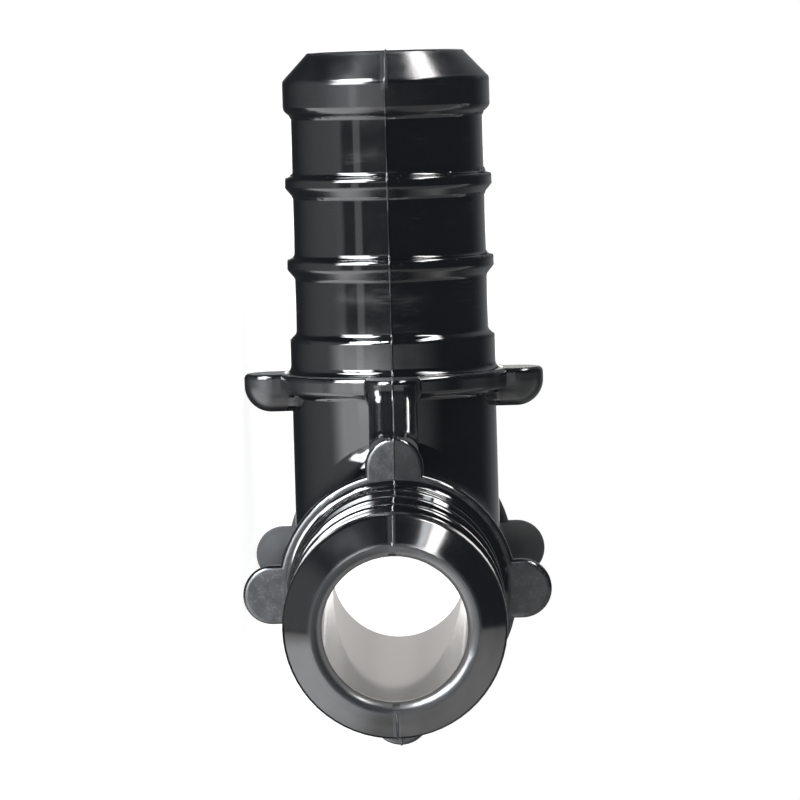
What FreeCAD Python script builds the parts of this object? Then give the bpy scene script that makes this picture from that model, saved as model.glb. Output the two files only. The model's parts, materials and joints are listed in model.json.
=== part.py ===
import FreeCAD, Part
import math
import os

# One-piece moulded insert tee for flexible water tube. The run lies along Y, the branch
# points along +X, and the origin is where the two waterway axes cross. Lengths are in mm.

# Waterways
bore_radius = 4.15
end_wall = 0.67
lip_round = 0.6

# Insert: the stretch of each leg that goes into the tube, listed from the leg's end back
insert_radius = 6.42
chamfer_length = 1.7
land_length = 1.8
land_back_length = 0.42
land_round = 0.5
outer_groove_length = 3.53
inner_groove_length = 3.37
groove_depth = 0.49
groove_draft = 0.03
groove_round = 0.3

# Sealing rings, steep towards the leg's end and sloped behind
ring_count = 2
ring_pitch = 5.04
ring_steep_length = 0.22
ring_crest_length = 0.62
ring_slope_length = 0.56
ring_round = 0.3

# Shoulder between the insert and the stop face
shoulder_length = 2.47
shoulder_drop = 0.06
shoulder_chamfer = 0.38
shoulder_round = 0.3
foot_round = 0.45

# Collar with its four stop ears
flange_step = 0.84
flange_thickness = 1.2
flange_front_round = 0.32
flange_back_round = 0.3
ear_count = 4
ear_rise = 2.07
ear_width = 3.52
ear_thickness = 2.4
ear_face_round = 0.3
ear_back_round = 1.65

# Body between the collars
neck_step = 0.03
run_body_step = 0.1
crotch_round = 2.2

# Corner webs that tie the branch collar's ears to the run collars' ears
web_width = 2.95
web_setback = 0.95
web_blend = 1.2
web_edge_round = 0.8

# How far a collar's stop face stands beyond the ear tips of the collar at right angles to it
stop_offset = 3.24

# How deep a joined piece is buried, and the most of its room that a round takes
overlap = 0.5
round_share = 0.95
same = 1e-6

ring_length = ring_steep_length + ring_crest_length + ring_slope_length
land_foot = chamfer_length + land_length + land_back_length
rings_length = (ring_count - 1) * ring_pitch + ring_length
insert_length = land_foot + outer_groove_length + rings_length + inner_groove_length
shoulder_radius = insert_radius - shoulder_drop
flange_radius = shoulder_radius + flange_step
ear_reach = flange_radius + ear_rise
neck_radius = shoulder_radius - neck_step
run_body_radius = shoulder_radius + run_body_step
centre_to_stop = ear_reach + stop_offset
centre_to_end = centre_to_stop + shoulder_length + insert_length

X_AXIS = FreeCAD.Vector(1, 0, 0)
Y_AXIS = FreeCAD.Vector(0, 1, 0)
Z_AXIS = FreeCAD.Vector(0, 0, 1)
ORIGIN = FreeCAD.Vector(0, 0, 0)


def tangent_length(corners, i):
    """Distance from corner i to where its arc of the stated radius leaves the two sides."""
    here = FreeCAD.Vector(*corners[i][:2], 0)
    before = FreeCAD.Vector(*corners[i - 1][:2], 0) - here
    after = FreeCAD.Vector(*corners[(i + 1) % len(corners)][:2], 0) - here
    return corners[i][2] / math.tan(before.getAngle(after) / 2)


def fitted_lengths(corners):
    """Tangent lengths of all corners, the arcs made smaller where a side is too short."""
    wanted = [tangent_length(corners, i) for i in range(len(corners))]
    fitted = list(wanted)
    for i in range(len(corners)):
        side = math.dist(corners[i - 1][:2], corners[i][:2])
        taken = wanted[i - 1] + wanted[i]
        if taken > round_share * side:
            share = round_share * side / taken
            fitted[i - 1] = min(fitted[i - 1], share * wanted[i - 1])
            fitted[i] = min(fitted[i], share * wanted[i])
    return fitted


def rounded_outline(corners):
    """Closed wire through (along, out, radius) corners, each turned on a tangent arc."""
    lengths = fitted_lengths(corners)
    total = len(corners)
    edges = []
    last_end = None
    first_start = None
    for i in range(total):
        here = FreeCAD.Vector(*corners[i][:2], 0)
        before = FreeCAD.Vector(*corners[i - 1][:2], 0) - here
        after = FreeCAD.Vector(*corners[(i + 1) % total][:2], 0) - here
        half = before.getAngle(after) / 2
        start = here + before.normalize() * lengths[i]
        end = here + after.normalize() * lengths[i]
        if last_end is None:
            first_start = start
        else:
            edges.append(Part.LineSegment(last_end, start).toShape())
        if lengths[i] > 0:
            inward = (before + after).normalize()
            depth = lengths[i] * (1 / math.cos(half) - math.tan(half))
            edges.append(Part.Arc(start, here + inward * depth, end).toShape())
        last_end = end
    edges.append(Part.LineSegment(last_end, first_start).toShape())
    return Part.Wire(edges)


def root_radius(from_end):
    """Radius of the grooves between the rings, which grows a little towards the shoulder."""
    return insert_radius - groove_depth + groove_draft * from_end / insert_length


def ring_corners(from_end):
    """Corners of the sealing ring whose steep foot is this far from the leg's end."""
    steep_top = from_end + ring_steep_length
    slope_top = steep_top + ring_crest_length
    slope_foot = from_end + ring_length
    return [
        (centre_to_end - from_end, root_radius(from_end), groove_round),
        (centre_to_end - steep_top, insert_radius, ring_round),
        (centre_to_end - slope_top, insert_radius, ring_round),
        (centre_to_end - slope_foot, root_radius(slope_foot), groove_round),
    ]


def leg_corners(body_radius):
    """Half section of a leg's outside, from its end back to the crossing of the axes."""
    shoulder_front = centre_to_stop + shoulder_length
    flange_back = centre_to_stop - flange_thickness
    corners = [
        (centre_to_end, bore_radius + end_wall, 0),
        (centre_to_end - chamfer_length, insert_radius, land_round),
        (centre_to_end - chamfer_length - land_length, insert_radius, land_round),
        (centre_to_end - land_foot, root_radius(land_foot), groove_round),
    ]
    for i in range(ring_count):
        corners += ring_corners(land_foot + outer_groove_length + i * ring_pitch)
    corners += [
        (shoulder_front, root_radius(insert_length), groove_round),
        (shoulder_front - shoulder_chamfer, shoulder_radius, shoulder_round),
        (centre_to_stop, shoulder_radius, foot_round),
        (centre_to_stop, flange_radius, flange_front_round),
        (flange_back, flange_radius, flange_back_round),
        (flange_back, body_radius, flange_back_round),
        (0, body_radius, 0),
        (0, 0, 0),
        (centre_to_end, 0, 0),
    ]
    return corners


def ear_outline(root):
    """Outline of an ear across the leg: parallel sides from its root, and a round tip."""
    half_width = ear_width / 2
    shoulder = ear_reach - half_width
    root_left = FreeCAD.Vector(0, root, -half_width)
    root_right = FreeCAD.Vector(0, root, half_width)
    left = FreeCAD.Vector(0, shoulder, -half_width)
    right = FreeCAD.Vector(0, shoulder, half_width)
    tip = FreeCAD.Vector(0, ear_reach, 0)
    return Part.Wire([
        Part.LineSegment(root_left, left).toShape(),
        Part.Arc(left, tip, right).toShape(),
        Part.LineSegment(right, root_right).toShape(),
        Part.LineSegment(root_right, root_left).toShape(),
    ])


def ear():
    """One stop ear: a round-ended tab, flat towards the tube and domed behind."""
    root = (bore_radius + insert_radius) / 2
    back = centre_to_stop - ear_thickness
    tab = Part.Face(ear_outline(root)).extrude(FreeCAD.Vector(ear_thickness, 0, 0))
    tab.translate(FreeCAD.Vector(back, 0, 0))
    face_round = min(ear_face_round, round_share * ear_thickness / 2)
    dome = min(ear_back_round, round_share * min(ear_width / 2, ear_thickness - face_round))
    tab = tab.makeFillet(dome, [edge for edge in tab.Edges if is_rim(edge, back, root)])
    rim = [edge for edge in tab.Edges if is_rim(edge, centre_to_stop, root)]
    return tab.makeFillet(face_round, rim)


def is_rim(edge, along, root):
    """True for an edge of a tab that lies in the plane at this distance and isn't at its root."""
    box = edge.BoundBox
    flat = abs(box.XMin - along) < same and abs(box.XMax - along) < same
    return flat and box.YMax > root + same


def ears():
    """The ears of a collar, evenly spaced around the leg."""
    tabs = []
    for i in range(ear_count):
        tab = ear()
        tab.rotate(ORIGIN, X_AXIS, i * 360 / ear_count)
        tabs.append(tab)
    return tabs


def leg(body_radius, turn):
    """Solid leg with its collar and ears, turned about Z from +X."""
    section = Part.Face(rounded_outline(leg_corners(body_radius)))
    solid = section.revolve(ORIGIN, X_AXIS, 360).multiFuse(ears())
    solid.rotate(ORIGIN, Z_AXIS, turn)
    return solid


def is_crotch(edge):
    """True for an edge where the branch's neck meets the body of the run."""
    box = edge.BoundBox
    near = max(abs(box.YMin), abs(box.YMax)) < run_body_radius
    return near and 0 < box.XMin < run_body_radius and box.ZLength > bore_radius


def outer_body():
    """The three legs as one solid, with the crotch between branch and run rounded."""
    run = leg(run_body_radius, 90).fuse(leg(run_body_radius, -90))
    body = run.fuse(leg(neck_radius, 0)).removeSplitter()
    room = centre_to_stop - max(ear_thickness, flange_thickness) - run_body_radius
    crotch = [edge for edge in body.Edges if is_crotch(edge)]
    return body.makeFillet(min(crotch_round, round_share * room), crotch)


def web():
    """Corner web in the tee's plane, from an ear of the branch to an ear of the run."""
    corner = centre_to_stop - web_setback
    inner = run_body_radius - overlap
    far = centre_to_stop - ear_face_round
    wire = rounded_outline([
        (inner, inner, 0),
        (far, inner, 0),
        (far, ear_reach, 0),
        (corner, ear_reach, web_blend),
        (ear_reach, corner, web_blend),
        (ear_reach, far, 0),
        (inner, far, 0),
    ])
    solid = Part.Face(wire).extrude(FreeCAD.Vector(0, 0, web_width))
    solid.translate(FreeCAD.Vector(0, 0, -web_width / 2))
    free = [edge for edge in solid.Edges if is_free_edge(edge)]
    return solid.makeFillet(min(web_edge_round, round_share * web_width / 2), free)


def is_free_edge(edge):
    """True for the edges along the web's open side, on both of its flat faces."""
    box = edge.BoundBox
    return box.ZLength < same and min(box.XMin, box.YMin) > ear_reach - overlap


def waterway():
    """The run's straight bore and the branch's bore that opens into it."""
    start = FreeCAD.Vector(0, -centre_to_end, 0)
    run = Part.makeCylinder(bore_radius, 2 * centre_to_end, start, Y_AXIS)
    return run.fuse(Part.makeCylinder(bore_radius, centre_to_end, ORIGIN, X_AXIS))


def is_mouth(edge):
    """True for the circle where a bore comes out at a leg's end."""
    box = edge.BoundBox
    reach = max(abs(box.YMin), abs(box.YMax), box.XMax)
    flat = min(box.XLength, box.YLength) < same
    return flat and abs(reach - centre_to_end) < same and abs(box.ZMax - bore_radius) < same


def tee_body():
    """The finished moulding: legs, collars, ears and webs, with the waterways cut through."""
    other_web = web()
    other_web.rotate(ORIGIN, Z_AXIS, -90)
    body = outer_body().multiFuse([web(), other_web]).cut(waterway()).removeSplitter()
    mouths = [edge for edge in body.Edges if is_mouth(edge)]
    return body.makeFillet(min(lip_round, round_share * end_wall), mouths)


def main():
    os.makedirs("parts", exist_ok=True)
    body = tee_body()
    box = body.BoundBox
    print("valid", body.isValid(), "solids", len(body.Solids), "volume", round(body.Volume, 1))
    print("size", round(box.XLength, 2), round(box.YLength, 2), round(box.ZLength, 2))
    body.exportStep("parts/tee_body.step")


main()
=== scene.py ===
import json
import math

import bmesh
import bpy
from mathutils import Matrix, Vector

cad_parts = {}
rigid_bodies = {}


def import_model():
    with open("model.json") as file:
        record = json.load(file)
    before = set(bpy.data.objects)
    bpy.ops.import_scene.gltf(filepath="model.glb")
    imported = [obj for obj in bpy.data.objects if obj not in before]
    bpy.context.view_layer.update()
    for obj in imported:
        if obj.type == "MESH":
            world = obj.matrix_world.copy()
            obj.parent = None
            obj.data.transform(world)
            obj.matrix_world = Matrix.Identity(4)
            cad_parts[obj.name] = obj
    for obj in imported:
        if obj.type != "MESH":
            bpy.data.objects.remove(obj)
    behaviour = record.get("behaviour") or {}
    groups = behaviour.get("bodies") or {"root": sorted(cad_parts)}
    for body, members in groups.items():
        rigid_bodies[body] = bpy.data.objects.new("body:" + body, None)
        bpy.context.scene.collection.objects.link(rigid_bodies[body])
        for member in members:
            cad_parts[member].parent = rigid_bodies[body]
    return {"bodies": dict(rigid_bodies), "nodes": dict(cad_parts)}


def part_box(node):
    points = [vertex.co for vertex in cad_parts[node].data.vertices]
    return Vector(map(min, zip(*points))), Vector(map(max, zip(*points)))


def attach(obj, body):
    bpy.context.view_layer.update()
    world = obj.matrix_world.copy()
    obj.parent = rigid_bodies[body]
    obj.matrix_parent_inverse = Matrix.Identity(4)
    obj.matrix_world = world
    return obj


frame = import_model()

# Moulded insert tee. The run lies along Y, the branch points along +X, and the origin is where
# the waterways cross. Lengths are in metres, and a size in millimetres is written times MM.
MM = 0.001

# Camera: where it stands as seen from the crossing, in degrees, and how it is framed
VIEW_DISTANCE = 347.4 * MM
VIEW_ELEVATION = 6.05
VIEW_AZIMUTH = 0.61
VIEW_ROLL = -1.6
FOCAL_PIXELS = 5580.8
IMAGE_SIZE = 800
CROSSING_PIXEL = (399.1, 570.1)
SENSOR_WIDTH = 36.0
NEAREST_SEEN = 10 * MM
FARTHEST_SEEN = 10.0

# Floor
FLOOR_SIZE = 4.0
FLOOR_COLOUR = (0.32, 0.32, 0.32, 1.0)
FLOOR_GLOW = 0.87
WHITE = (1.0, 1.0, 1.0, 1.0)

# Part: distances along a leg from the crossing, and radii
STOP_FACE = 12.51 * MM
LEG_END = 32.235 * MM
CHAMFER_START = LEG_END - 1.7 * MM
LAND_START = LEG_END - 3.4 * MM
BORE_RADIUS = 4.15 * MM
LIP_EDGE = 4.7 * MM
GROOVE_RADIUS = 5.93 * MM
SHOULDER_RADIUS = 6.36 * MM
INSERT_RADIUS = 6.42 * MM
FLANGE_RADIUS = 7.2 * MM

# Surfaces of a leg, by the limits of their masks: a mask rises from 0 at the first limit to 1
# at the second, and where there are four it falls from the third to the fourth. Along is the
# distance from the crossing, out is from the leg's axis, z is from the tee's plane, and aside
# is the same without its sign.
SURFACES = dict(
    bore=dict(out=(BORE_RADIUS + 0.1 * MM, BORE_RADIUS + 0.02 * MM)),
    lip=dict(along=(LEG_END - 1.0 * MM, LEG_END - 0.65 * MM),
             out=(LIP_EDGE + 0.35 * MM, LIP_EDGE + 0.1 * MM)),
    mouth=dict(along=(LEG_END - 1.0 * MM, LEG_END - 0.65 * MM),
               out=(BORE_RADIUS + 0.34 * MM, BORE_RADIUS + 0.12 * MM)),
    chamfer=dict(along=(CHAMFER_START - 0.1 * MM, CHAMFER_START + 0.2 * MM),
                 out=(BORE_RADIUS + 0.1 * MM, BORE_RADIUS + 0.3 * MM)),
    witness=dict(along=(LEG_END - 2.4 * MM, LEG_END - 1.9 * MM),
                 z=(-0.3 * MM, -0.2 * MM, 0.12 * MM, 0.24 * MM)),
    land=dict(along=(LAND_START - 0.2 * MM, LAND_START, CHAMFER_START, CHAMFER_START + 0.1 * MM),
              out=(INSERT_RADIUS - 0.08 * MM, INSERT_RADIUS - 0.03 * MM)),
    crest=dict(along=(STOP_FACE + 2 * MM, STOP_FACE + 3 * MM),
               out=(INSERT_RADIUS - 0.12 * MM, INSERT_RADIUS - 0.03 * MM)),
    flank=dict(along=(STOP_FACE + 3 * MM, STOP_FACE + 3.2 * MM),
               out=(GROOVE_RADIUS + 0.06 * MM, GROOVE_RADIUS + 0.12 * MM,
                    INSERT_RADIUS - 0.06 * MM, INSERT_RADIUS - 0.02 * MM)),
    stop=dict(along=(STOP_FACE - 0.08 * MM, STOP_FACE - 0.02 * MM,
                     STOP_FACE + 0.02 * MM, STOP_FACE + 0.1 * MM),
              out=(SHOULDER_RADIUS + 0.35 * MM, SHOULDER_RADIUS + 0.5 * MM)),
    side_ear=dict(out=(SHOULDER_RADIUS + 0.15 * MM, SHOULDER_RADIUS + 0.4 * MM),
                  aside=(3.6 * MM, 4.6 * MM)),
    ear_rim=dict(along=(STOP_FACE - 0.4 * MM, STOP_FACE - 0.25 * MM)),
    web=dict(along=(STOP_FACE - 0.3 * MM, STOP_FACE - 0.5 * MM),
             out=(FLANGE_RADIUS - 0.2 * MM, FLANGE_RADIUS),
             aside=(1.9 * MM, 1.6 * MM)),
    grained_half=dict(z=(0.05 * MM, -0.05 * MM)),
)

# Slopes that face the collar, by distance from the leg's end: the end land's and the two
# rings', and how softly their mask starts and ends
SLOPES = ((3.45 * MM, 3.92 * MM), (8.25 * MM, 8.85 * MM), (13.29 * MM, 13.89 * MM))
SLOPE_FADES = (0.2 * MM, 0.15 * MM)

# Parting line: the bead that the two mould halves leave in the plane z = 0
BEAD_RADIUS = 0.07 * MM
BEAD_SIDES = 8
CUT_OFFSET = 0.0005 * MM
WELD = 0.002 * MM

# Light panels of the studio, by direction from the part: up is the branch's way (+X), front is
# the way to the camera (+Y), and side is +Z. Turns are in degrees from up or front towards
# side. The four limits are where a panel starts, where its full strength starts and ends, and
# where the panel ends.
PANELS = (
    dict(name="overhead right box, back part", colour=(1.0, 0.98, 0.97), strength=27.0,
         up_turn=(13.0, 18.0, 27.0, 31.0), front=(-0.25, -0.15, -0.04, -0.01)),
    dict(name="overhead right box, middle", colour=(1.0, 0.98, 0.97), strength=26.0,
         up_turn=(23.0, 25.0, 30.5, 33.0), front=(-0.04, -0.01, 0.05, 0.09)),
    dict(name="overhead right box, front part", colour=(1.0, 0.98, 0.97), strength=24.0,
         up_turn=(23.5, 25.5, 31.5, 34.5), front=(0.05, 0.09, 0.42, 0.55)),
    dict(name="its narrow neighbour", colour=(0.92, 0.96, 1.0), strength=8.0,
         up_turn=(16.5, 19.0, 21.5, 23.0), front=(-0.04, -0.01, 0.2, 0.3)),
    dict(name="overhead left box", colour=(0.93, 0.97, 1.0), strength=42.0,
         up_turn=(-50.0, -43.0, -18.0, -14.0), front=(0.1, 0.18, 0.62, 0.75)),
    dict(name="window in front on the left", colour=(0.93, 0.97, 1.0), strength=22.0,
         front_turn=(-66.0, -60.0, -27.0, -22.0), up=(0.13, 0.18, 0.5, 0.6)),
    dict(name="table", colour=(1.0, 0.99, 0.98), strength=1.5,
         up=(-2.0, -1.9, -0.16, -0.11), front=(-0.24, -0.16, 1.9, 2.0),
         side=(-2.0, -1.9, 0.0, 0.15)),
    dict(name="table's right side", colour=(1.0, 0.99, 0.98), strength=0.5,
         up=(-2.0, -1.9, -0.16, -0.11), front=(-0.24, -0.16, 1.9, 2.0),
         side=(0.0, 0.15, 1.9, 2.0)),
    dict(name="table's right side below", colour=(1.0, 0.99, 0.98), strength=1.0,
         up=(-2.0, -1.9, -0.16, -0.11), front=(-0.24, -0.16, -0.1, -0.04),
         side=(0.0, 0.15, 1.9, 2.0)),
    dict(name="table's left side", colour=(0.95, 0.97, 1.0), strength=1.9,
         up=(-2.0, -1.9, -0.3, -0.14), front=(-0.24, -0.16, 1.9, 2.0),
         side=(-1.1, -1.05, -0.45, -0.15)),
    dict(name="near edge of the table", colour=(0.96, 0.98, 1.0), strength=3.6,
         up=(-0.11, -0.104, -0.067, -0.06), front_turn=(-80.0, -50.0, -28.0, 14.0)),
    dict(name="right part of that edge", colour=(0.96, 0.98, 1.0), strength=0.6,
         up=(-0.11, -0.104, -0.067, -0.06), front_turn=(-20.0, 12.0, 20.0, 60.0)),
    dict(name="left screen", colour=(0.97, 0.98, 1.0), strength=1.8,
         up=(-0.02, -0.014, 0.15, 0.3), front_turn=(-60.0, -52.0, -3.0, 4.0)),
    dict(name="left wall", colour=(0.95, 0.98, 1.0), strength=0.7,
         front_turn=(-145.0, -70.0, -60.0, -53.0), up=(-0.115, -0.105, 0.4, 0.7)),
    dict(name="left strip", colour=(1.0, 1.0, 1.0), strength=0.95,
         front_turn=(-42.0, -40.0, -34.0, -31.0), up=(-0.078, -0.073, 0.1, 0.2)),
    dict(name="room in front on the left", colour=(0.93, 0.97, 1.0), strength=0.14,
         front_turn=(-75.0, -60.0, -14.0, 4.0)),
    dict(name="right side of the backdrop", colour=(0.95, 0.97, 1.0), strength=0.3,
         front_turn=(112.0, 158.0, 163.0, 170.0)),
    dict(name="backdrop", colour=(1.0, 0.965, 0.92), strength=0.72,
         front=(-2.0, -1.9, -0.985, -0.965)),
    dict(name="backdrop straight behind", colour=(1.0, 0.965, 0.92), strength=0.1,
         front=(-2.0, -1.9, -0.985, -0.965), side=(-0.1, -0.03, 0.03, 0.1)),
    dict(name="middle of the backdrop", colour=(1.0, 0.99, 0.97), strength=1.7,
         front=(-2.0, -1.9, -0.99397, -0.99305)),
)
ROOM_COLOUR = (0.03, 0.032, 0.036)
PLAIN_LEVEL = (0.95, 0.95, 0.95, 1.0)

# Plastic: colours
PLASTIC_IOR = 1.62
DARK_PLASTIC = (0.0075, 0.0085, 0.0102, 1)
LIGHT_PLASTIC = (0.0095, 0.0105, 0.0122, 1)
SCUFF_COLOUR = (0.017, 0.0185, 0.021, 1)
# Painted glint: the grey of the speckles in the grain of the stop faces
SPECKLE_PAINTED_GLINT = (0.14, 0.147, 0.16, 1)
# Painted sheen: the lighter grey of the lip at each leg's end
LIP_PAINTED_SHEEN = (0.032, 0.034, 0.038, 1)
# Painted reflection: the light grey on the inner edge of each mouth
MOUTH_PAINTED_REFLECTION = (0.17, 0.17, 0.17, 1)
WITNESS_COLOUR = (0.045, 0.047, 0.052, 1)

# Plastic: roughness, as the least and the most of a mottled place or as one number
WALL_ROUGHNESS = (0.03, 0.07)
SCUFF_ROUGHNESS = 0.05
FLANK_ROUGHNESS = (0.07, 0.13)
SLOPE_ROUGHNESS = (0.2, 0.28)
LAND_ROUGHNESS = (0.13, 0.2)
WEB_ROUGHNESS = (0.12, 0.2)
BRANCH_EAR_ROUGHNESS = (0.26, 0.38)
RUN_EAR_ROUGHNESS = 0.85
EAR_RIM_ROUGHNESS = 0.14
CHAMFER_ROUGHNESS = (0.08, 0.17)
BRANCH_CHAMFER_ROUGHNESS = (0.12, 0.3)
STOP_ROUGHNESS = (0.3, 0.42)
BORE_ROUGHNESS = 0.05
LIP_ROUGHNESS = 0.25

# Plastic: sizes of the patterns' lumps
CLOUD_SIZE = 5 * MM
WAVE_SIZE = 4 * MM
PATCH_SIZE = 2.6 * MM
SCUFF_SIZE = 1.3 * MM
SCUFF_SQUEEZE = 14.0
MOTTLE_SIZE = 0.9 * MM
GRAIN_SIZE = 0.13 * MM

# Plastic: noise levels between which a pattern rises from 0 to 1
STREAK_LEVELS = (0.52, 0.7)
PATCH_LEVELS = (0.5, 0.68)
SPARKLE_LEVELS = (0.5, 0.72)
GLINT_MOTTLE_LEVELS = (0.38, 0.62)

# Plastic: how much grain, with its painted glints, is left on the smooth half, between the
# sparkles and outside the mottled patches, and how much is on the crests of the branch's rings
# and of the run's
SMOOTH_HALF_SHARE = 0.35
DULL_SHARE = 0.4
GLINT_MOTTLE_SHARE = 0.3
CREST_SHARES = (0.15, 0.4)

# Plastic: relief, with the bore's draft as a slope
WAVE_HEIGHT = 0.008 * MM
FROST_HEIGHT = 0.004 * MM
BORE_DRAFT = 0.0087


def clear_start_objects():
    """Removes what an empty file starts with."""
    kept = set(frame["nodes"].values()) | set(frame["bodies"].values())
    for thing in [item for item in bpy.data.objects if item not in kept]:
        bpy.data.objects.remove(thing)


def link(obj):
    """Puts an object into the scene."""
    bpy.context.scene.collection.objects.link(obj)
    return obj


class Nodes:
    """Short calls that add nodes to a tree and join them."""

    def __init__(self, tree):
        self.tree = tree

    def add(self, kind, **settings):
        node = self.tree.nodes.new(kind)
        for name, value in settings.items():
            setattr(node, name, value)
        return node

    def feed(self, socket, value):
        if isinstance(value, bpy.types.NodeSocket):
            self.tree.links.new(value, socket)
        else:
            socket.default_value = value

    def math(self, operation, first, second=0.0):
        node = self.add("ShaderNodeMath", operation=operation)
        self.feed(node.inputs[0], first)
        self.feed(node.inputs[1], second)
        return node.outputs[0]

    def times(self, first, second):
        return self.math("MULTIPLY", first, second)

    def step(self, value, low, high):
        """Smooth rise from 0 at low to 1 at high, or fall where low is above high."""
        node = self.add("ShaderNodeMapRange", interpolation_type="SMOOTHSTEP")
        self.feed(node.inputs["Value"], value)
        self.feed(node.inputs["From Min"], low)
        self.feed(node.inputs["From Max"], high)
        return node.outputs["Result"]

    def band(self, value, start, full, last, end):
        """Rises from 0 at start to 1 at full, and falls from 1 at last to 0 at end."""
        return self.times(self.step(value, start, full), self.step(value, end, last))

    def between(self, share, first, second):
        """Number that goes from the first to the second value as the share goes from 0 to 1."""
        node = self.add("ShaderNodeMix", data_type="FLOAT")
        self.feed(node.inputs[0], share)
        self.feed(node.inputs[2], first)
        self.feed(node.inputs[3], second)
        return node.outputs[0]

    def mix(self, share, first, second):
        """Colour that goes from the first to the second as the share goes from 0 to 1."""
        node = self.add("ShaderNodeMix", data_type="RGBA")
        self.feed(node.inputs[0], share)
        self.feed(node.inputs[6], first)
        self.feed(node.inputs[7], second)
        return node.outputs[2]

    def vector(self, operation, first, second):
        node = self.add("ShaderNodeVectorMath", operation=operation)
        self.feed(node.inputs[0], first)
        self.feed(node.inputs["Scale" if operation == "SCALE" else 1], second)
        return node.outputs[0]

    def noise(self, vector, size, detail=2.0):
        """Noise whose lumps are about this size."""
        node = self.add("ShaderNodeTexNoise")
        self.feed(node.inputs["Vector"], vector)
        self.feed(node.inputs["Scale"], 1 / size)
        self.feed(node.inputs["Detail"], detail)
        return node.outputs["Fac"]


def region_mask(nodes, axes, region):
    """1 inside the limits that a region has on some of the axes, and 0 outside them."""
    mask = None
    for name, limits in region.items():
        if name in axes:
            rise = nodes.band if len(limits) == 4 else nodes.step
            part = rise(axes[name], *limits)
            mask = part if mask is None else nodes.times(mask, part)
    return mask


def studio_world():
    """White to the camera, a plain level to soft light, and the panels to reflections."""
    world = bpy.data.worlds.new("studio")
    world.use_nodes = True
    bpy.context.scene.world = world
    world.node_tree.nodes.clear()
    nodes = Nodes(world.node_tree)
    direction = nodes.add("ShaderNodeTexCoord").outputs["Generated"]
    split = nodes.add("ShaderNodeSeparateXYZ")
    nodes.feed(split.inputs[0], direction)
    up, front, side = split.outputs
    to_degrees = 180 / math.pi
    axes = dict(
        up=up,
        front=front,
        side=side,
        up_turn=nodes.times(nodes.math("ARCTAN2", side, up), to_degrees),
        front_turn=nodes.times(nodes.math("ARCTAN2", side, front), to_degrees),
    )
    light = ROOM_COLOUR
    for panel in PANELS:
        strength = nodes.times(region_mask(nodes, axes, panel), panel["strength"])
        light = nodes.vector("ADD", light, nodes.vector("SCALE", panel["colour"], strength))
    path = nodes.add("ShaderNodeLightPath")
    soft = nodes.mix(path.outputs["Is Glossy Ray"], PLAIN_LEVEL, light)
    background = nodes.add("ShaderNodeBackground")
    nodes.feed(background.inputs["Color"], nodes.mix(path.outputs["Is Camera Ray"], soft, WHITE))
    output = nodes.add("ShaderNodeOutputWorld")
    nodes.feed(output.inputs["Surface"], background.outputs[0])


def floor():
    """Plain white floor that the part lies on."""
    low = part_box("tee_body")[0].z
    half = FLOOR_SIZE / 2
    mesh = bpy.data.meshes.new("floor")
    corners = [(-half, -half, low), (half, -half, low), (half, half, low), (-half, half, low)]
    mesh.from_pydata(corners, [], [(0, 1, 2, 3)])
    obj = link(bpy.data.objects.new("floor", mesh))
    mesh.materials.append(floor_white())


def floor_white():
    """White with the part's shadow for the camera and soft light, and clear for reflections."""
    material = bpy.data.materials.new("floor_white")
    material.use_nodes = True
    material.node_tree.nodes.clear()
    nodes = Nodes(material.node_tree)
    diffuse = nodes.add("ShaderNodeBsdfDiffuse")
    nodes.feed(diffuse.inputs["Color"], FLOOR_COLOUR)
    glow = nodes.add("ShaderNodeEmission")
    nodes.feed(glow.inputs["Strength"], FLOOR_GLOW)
    both = nodes.add("ShaderNodeAddShader")
    nodes.feed(both.inputs[0], diffuse.outputs[0])
    nodes.feed(both.inputs[1], glow.outputs[0])
    clear = nodes.add("ShaderNodeBsdfTransparent")
    path = nodes.add("ShaderNodeLightPath")
    seen = nodes.math("MAXIMUM", path.outputs["Is Camera Ray"], path.outputs["Is Diffuse Ray"])
    choice = nodes.add("ShaderNodeMixShader")
    nodes.feed(choice.inputs[0], seen)
    nodes.feed(choice.inputs[1], clear.outputs[0])
    nodes.feed(choice.inputs[2], both.outputs[0])
    output = nodes.add("ShaderNodeOutputMaterial")
    nodes.feed(output.inputs["Surface"], choice.outputs[0])
    return material


def camera():
    """Camera in front of the run, framed so that the waterways' crossing falls on its pixel."""
    elevation = math.radians(VIEW_ELEVATION)
    azimuth = math.radians(VIEW_AZIMUTH)
    roll = math.radians(VIEW_ROLL)
    away = Vector((
        math.sin(elevation),
        math.cos(elevation) * math.cos(azimuth),
        math.cos(elevation) * math.sin(azimuth),
    ))
    up = Vector((1, 0, 0))
    up = (up - up.dot(away) * away).normalized()
    right = up.cross(away)
    rolled_right = right * math.cos(roll) + up * math.sin(roll)
    rolled_up = up * math.cos(roll) - right * math.sin(roll)
    straight = Matrix((rolled_right, rolled_up, away)).transposed()
    aim = Vector((
        (CROSSING_PIXEL[0] - IMAGE_SIZE / 2) / FOCAL_PIXELS,
        -(CROSSING_PIXEL[1] - IMAGE_SIZE / 2) / FOCAL_PIXELS,
        -1,
    ))
    turn = Vector((0, 0, -1)).rotation_difference(aim).inverted()
    data = bpy.data.cameras.new("camera")
    data.sensor_width = SENSOR_WIDTH
    data.lens = FOCAL_PIXELS / IMAGE_SIZE * SENSOR_WIDTH
    data.clip_start = NEAREST_SEEN
    data.clip_end = FARTHEST_SEEN
    obj = link(bpy.data.objects.new("camera", data))
    obj.matrix_world = (straight @ turn.to_matrix()).to_4x4()
    obj.location = away * VIEW_DISTANCE
    bpy.context.scene.camera = obj


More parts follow.
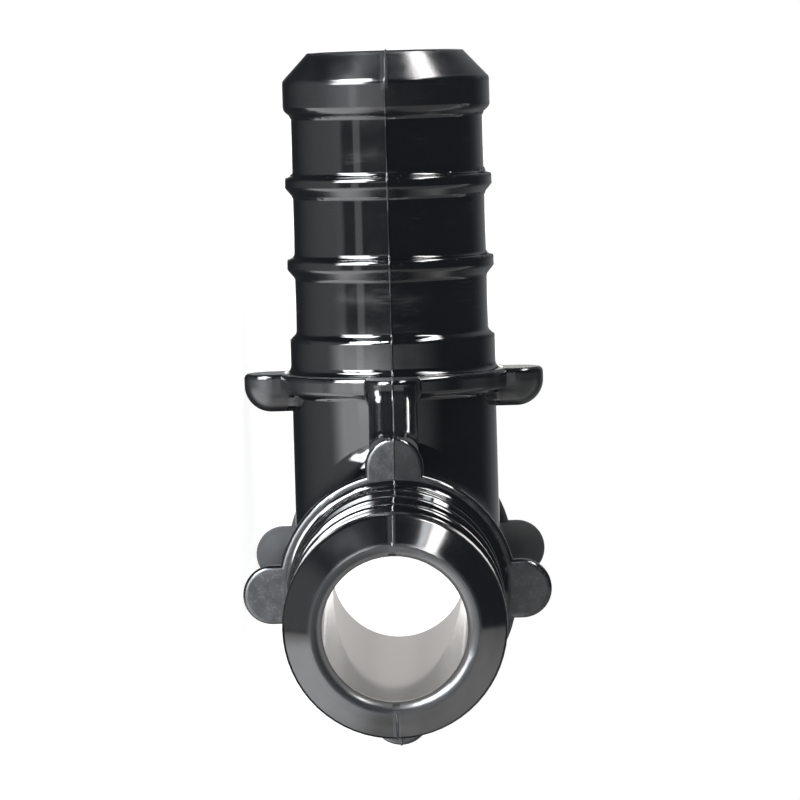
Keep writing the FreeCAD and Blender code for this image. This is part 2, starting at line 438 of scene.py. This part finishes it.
def leg_place(nodes):
    """Where a point is: its object coordinates, 1 on the run, and its place on its leg."""
    whole = nodes.add("ShaderNodeTexCoord").outputs["Object"]
    split = nodes.add("ShaderNodeSeparateXYZ")
    nodes.feed(split.inputs[0], whole)
    x, y, z = split.outputs
    run_distance = nodes.math("ABSOLUTE", y)
    on_run = nodes.math("GREATER_THAN", run_distance, x)
    cross = nodes.between(on_run, y, x)
    across = nodes.math("ADD", nodes.times(cross, cross), nodes.times(z, z))
    return dict(
        whole=whole,
        on_run=on_run,
        along=nodes.math("MAXIMUM", run_distance, x),
        out=nodes.math("SQRT", across),
        z=z,
        aside=nodes.math("ABSOLUTE", z),
    )


def leg_masks(nodes, place):
    """Masks of the surfaces of a leg, each 1 on its surface and 0 off it."""
    masks = {name: region_mask(nodes, place, region) for name, region in SURFACES.items()}
    masks["slope"] = slope_mask(nodes, place["along"])
    masks["wall"] = nodes.math("SUBTRACT", 1.0, masks["bore"])
    on_branch = nodes.math("SUBTRACT", 1.0, place["on_run"])
    masks["branch_chamfer"] = nodes.times(masks["chamfer"], on_branch)
    grain_share = nodes.between(masks["grained_half"], SMOOTH_HALF_SHARE, 1.0)
    masks["grained_stop"] = nodes.times(masks["stop"], grain_share)
    return masks


def slope_mask(nodes, along):
    """1 on the slopes that face the collar."""
    mask = 0.0
    for start, end in SLOPES:
        slope = nodes.band(along, LEG_END - end - SLOPE_FADES[0], LEG_END - end,
                           LEG_END - start, LEG_END - start + SLOPE_FADES[1])
        mask = nodes.math("MAXIMUM", slope, mask)
    return mask


def scuff_mask(nodes, place):
    """Faint scuffs, each one narrow along the leg, that are gathered in patches."""
    squeezed = nodes.add("ShaderNodeCombineXYZ")
    nodes.feed(squeezed.inputs[0], nodes.times(place["along"], SCUFF_SQUEEZE))
    nodes.feed(squeezed.inputs[1], place["out"])
    nodes.feed(squeezed.inputs[2], place["z"])
    streaks = nodes.noise(squeezed.outputs[0], SCUFF_SIZE, detail=3.0)
    patches = nodes.noise(place["whole"], PATCH_SIZE, detail=1.0)
    return nodes.times(nodes.step(streaks, *STREAK_LEVELS), nodes.step(patches, *PATCH_LEVELS))


def plastic_colour(nodes, place, masks, marks):
    """Black all over, a little lighter where it is scuffed, with painted glints as grey speckles
    in mottled patches in the grain of the stop faces, a painted sheen on the lips and a painted
    reflection on the inner edges of the mouths.
    """
    cloud = nodes.noise(place["whole"], CLOUD_SIZE, detail=3.0)
    # Painted glints: the grain's sparkles, in mottled patches, make grey speckles on the stop
    # faces
    sparkle = nodes.between(nodes.step(marks["grain"], *SPARKLE_LEVELS), DULL_SHARE, 1.0)
    glint_mottle = nodes.between(nodes.step(marks["mottle"], *GLINT_MOTTLE_LEVELS), GLINT_MOTTLE_SHARE, 1.0)
    glint_speckle = nodes.times(nodes.times(masks["grained_stop"], sparkle), glint_mottle)
    layers = (
        (nodes.times(marks["scuff"], masks["wall"]), SCUFF_COLOUR),
        (glint_speckle, SPECKLE_PAINTED_GLINT),
        # painted sheen on the lip
        (masks["lip"], LIP_PAINTED_SHEEN),
        # painted reflection on the mouth's inner edge
        (masks["mouth"], MOUTH_PAINTED_REFLECTION),
        (nodes.times(masks["witness"], masks["wall"]), WITNESS_COLOUR),
    )
    colour = nodes.mix(cloud, DARK_PLASTIC, LIGHT_PLASTIC)
    for mask, laid_over in layers:
        colour = nodes.mix(mask, colour, laid_over)
    return colour


def plastic_roughness(nodes, place, masks, marks):
    """Glossy walls, with each other surface's roughness laid over them in turn."""
    mottle = marks["mottle"]
    branch_ear = nodes.between(mottle, *BRANCH_EAR_ROUGHNESS)
    ear_back = nodes.between(place["on_run"], branch_ear, RUN_EAR_ROUGHNESS)
    layers = (
        (masks["flank"], nodes.between(mottle, *FLANK_ROUGHNESS)),
        (masks["slope"], nodes.between(mottle, *SLOPE_ROUGHNESS)),
        (masks["land"], nodes.between(mottle, *LAND_ROUGHNESS)),
        (masks["web"], nodes.between(mottle, *WEB_ROUGHNESS)),
        (masks["side_ear"], nodes.between(masks["ear_rim"], ear_back, EAR_RIM_ROUGHNESS)),
        (masks["chamfer"], nodes.between(mottle, *CHAMFER_ROUGHNESS)),
        (masks["branch_chamfer"], nodes.between(mottle, *BRANCH_CHAMFER_ROUGHNESS)),
        (masks["stop"], nodes.between(masks["grained_half"], *STOP_ROUGHNESS)),
        (masks["bore"], BORE_ROUGHNESS),
        (masks["lip"], LIP_ROUGHNESS),
    )
    rough = nodes.between(mottle, *WALL_ROUGHNESS)
    rough = nodes.math("ADD", rough, nodes.times(marks["scuff"], SCUFF_ROUGHNESS))
    for mask, laid_over in layers:
        rough = nodes.between(mask, rough, laid_over)
    return rough


def plastic_relief(nodes, place, masks, marks):
    """Height of the slow waves, of the frosting and of the bore's draft."""
    wave = nodes.times(nodes.noise(place["whole"], WAVE_SIZE), masks["wall"])
    crest = nodes.times(masks["crest"], nodes.between(place["on_run"], *CREST_SHARES))
    frosted = nodes.math("MAXIMUM", masks["branch_chamfer"], masks["grained_stop"])
    frosted = nodes.math("MAXIMUM", frosted, crest)
    frost = nodes.times(nodes.times(marks["grain"], FROST_HEIGHT), frosted)
    inward = nodes.math("SUBTRACT", LEG_END, place["along"])
    draft = nodes.times(nodes.times(inward, BORE_DRAFT), masks["bore"])
    height = nodes.math("ADD", nodes.times(wave, WAVE_HEIGHT), frost)
    return nodes.math("ADD", height, draft)


def black_moulding():
    """Glossy black plastic, duller on the side ears, grained on stop faces with painted glints,
    frosted in places, with a painted sheen on the lips and a painted reflection in the mouths.
    """
    material = bpy.data.materials.new("black_moulding")
    material.use_nodes = True
    nodes = Nodes(material.node_tree)
    shader = material.node_tree.nodes["Principled BSDF"]
    shader.inputs["IOR"].default_value = PLASTIC_IOR
    place = leg_place(nodes)
    masks = leg_masks(nodes, place)
    marks = dict(
        mottle=nodes.noise(place["whole"], MOTTLE_SIZE, detail=3.0),
        grain=nodes.noise(place["whole"], GRAIN_SIZE),
        scuff=scuff_mask(nodes, place),
    )
    nodes.feed(shader.inputs["Base Color"], plastic_colour(nodes, place, masks, marks))
    nodes.feed(shader.inputs["Roughness"], plastic_roughness(nodes, place, masks, marks))
    bump = nodes.add("ShaderNodeBump")
    nodes.feed(bump.inputs["Distance"], 1.0)
    nodes.feed(bump.inputs["Height"], plastic_relief(nodes, place, masks, marks))
    nodes.feed(shader.inputs["Normal"], bump.outputs[0])
    return material


def parting_outline():
    """Outer outline of the part in the parting plane, as a mesh of edges."""
    shape = bmesh.new()
    shape.from_mesh(frame["nodes"]["tee_body"].data)
    bmesh.ops.remove_doubles(shape, verts=shape.verts, dist=WELD)
    whole = shape.verts[:] + shape.edges[:] + shape.faces[:]
    bmesh.ops.bisect_plane(
        shape,
        geom=whole,
        plane_co=(0, 0, CUT_OFFSET),
        plane_no=(0, 0, 1),
        clear_inner=True,
        clear_outer=True,
    )
    inside = [vert for vert in shape.verts if is_waterway(vert.co)]
    bmesh.ops.delete(shape, geom=inside, context="VERTS")
    bmesh.ops.remove_doubles(shape, verts=shape.verts, dist=WELD)
    mesh = bpy.data.meshes.new("parting_outline")
    shape.to_mesh(mesh)
    shape.free()
    return mesh


def is_waterway(place):
    """True for a point of the parting plane on a bore or on the lip at its end."""
    cross = place.x if abs(place.y) > place.x else place.y
    return abs(cross) < LIP_EDGE


def bead_tree(material):
    """Geometry nodes that lay a round bead along the edges of a mesh."""
    tree = bpy.data.node_groups.new("bead_on_edges", "GeometryNodeTree")
    tree.interface.new_socket("Outline", in_out="INPUT", socket_type="NodeSocketGeometry")
    tree.interface.new_socket("Bead Radius", in_out="INPUT", socket_type="NodeSocketFloat")
    tree.interface.new_socket("Sides", in_out="INPUT", socket_type="NodeSocketInt")
    tree.interface.new_socket("Bead", in_out="OUTPUT", socket_type="NodeSocketGeometry")
    nodes = Nodes(tree)
    given = nodes.add("NodeGroupInput")
    line = nodes.add("GeometryNodeMeshToCurve")
    nodes.feed(line.inputs["Mesh"], given.outputs["Outline"])
    circle = nodes.add("GeometryNodeCurvePrimitiveCircle")
    nodes.feed(circle.inputs["Radius"], given.outputs["Bead Radius"])
    nodes.feed(circle.inputs["Resolution"], given.outputs["Sides"])
    tube = nodes.add("GeometryNodeCurveToMesh")
    nodes.feed(tube.inputs["Curve"], line.outputs[0])
    nodes.feed(tube.inputs["Profile Curve"], circle.outputs["Curve"])
    nodes.feed(tube.inputs["Fill Caps"], True)
    real = nodes.add("GeometryNodeRealizeInstances")
    nodes.feed(real.inputs[0], tube.outputs[0])
    finish = nodes.add("GeometryNodeSetMaterial")
    nodes.feed(finish.inputs["Geometry"], real.outputs[0])
    nodes.feed(finish.inputs["Material"], material)
    result = nodes.add("NodeGroupOutput")
    nodes.feed(result.inputs[0], finish.outputs[0])
    return tree


def parting_line(material):
    """The thin bead along the parting plane, as one plain mesh."""
    holder = link(bpy.data.objects.new("parting_line", parting_outline()))
    tree = bead_tree(material)
    modifier = holder.modifiers.new("bead", "NODES")
    modifier.node_group = tree
    values = {"Bead Radius": BEAD_RADIUS, "Sides": BEAD_SIDES}
    for item in tree.interface.items_tree:
        if item.name in values:
            modifier[item.identifier] = values[item.name]
    depsgraph = bpy.context.evaluated_depsgraph_get()
    mesh = bpy.data.meshes.new_from_object(holder.evaluated_get(depsgraph))
    holder.modifiers.clear()
    holder.data = mesh
    mesh.shade_smooth()
    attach(holder, "root")


clear_start_objects()
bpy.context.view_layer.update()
studio_world()
floor()
camera()
plastic = black_moulding()
frame["nodes"]["tee_body"].data.materials[0] = plastic
parting_line(plastic)
bpy.context.scene.view_settings.view_transform = "Standard"
